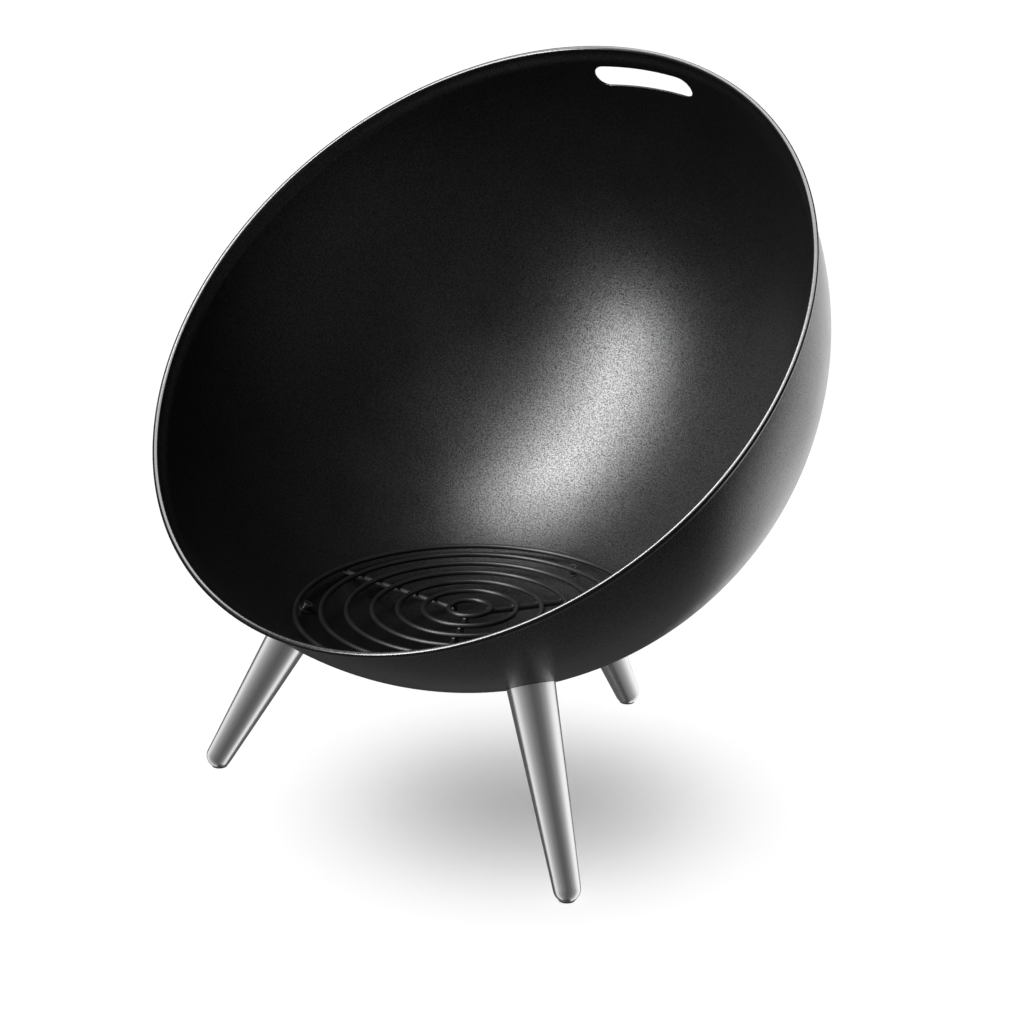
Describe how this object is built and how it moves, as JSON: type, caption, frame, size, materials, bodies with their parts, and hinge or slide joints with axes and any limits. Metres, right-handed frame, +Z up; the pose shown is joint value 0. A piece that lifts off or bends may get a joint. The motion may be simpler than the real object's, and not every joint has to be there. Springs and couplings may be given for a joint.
{
  "type": "fire bowl",
  "caption": "Tilted round fire bowl in black enamelled steel on tapered brushed-steel legs, with a loose wire grate inside and a hand slot under the rim.",
  "frame": {"origin": "on the floor, under the middle of the whole object's box", "axes": "+Z up; the bowl opens towards -Y and upwards; X runs across, and the bowl and legs are mirror images about X = 0"},
  "size_m": [0.6686, 0.573, 0.6751],
  "materials": {
    "black_enamel": "satin black enamel with a fine orange-peel grain",
    "black_wire": "satin black coated steel wire",
    "brushed_steel": "brushed stainless steel, grain along the leg",
    "plated_steel": "zinc plated",
    "black_steel": "black oxide, oiled",
    "glide_plastic": "matte black"
  },
  "bodies": {
    "bowl_and_legs": {"bowl": "black_enamel", "leg_left": "brushed_steel", "leg_right": "brushed_steel", "leg_back": "brushed_steel", "leg_insert_left": "plated_steel", "leg_insert_right": "plated_steel", "leg_insert_back": "plated_steel", "leg_bolt_left": "black_steel", "leg_bolt_right": "black_steel", "leg_bolt_back": "black_steel", "leg_washer_left": "black_steel", "leg_washer_right": "black_steel", "leg_washer_back": "black_steel", "glide_left": "glide_plastic", "glide_right": "glide_plastic", "glide_back": "glide_plastic"},
    "grate": {"grate_ring_1": "black_wire", "grate_ring_2": "black_wire", "grate_ring_3": "black_wire", "grate_ring_4": "black_wire", "grate_ring_5": "black_wire", "grate_ring_6": "black_wire", "grate_ring_7": "black_wire", "grate_bar_back": "black_wire", "grate_bar_left": "black_wire", "grate_bar_front": "black_wire"}
  },
  "joints": [
    {"name": "grate_lift", "type": "slide", "parent": "bowl_and_legs", "child": "grate", "axis": [0, 0, 1], "range_m": [0, 0.5]}
  ]
}
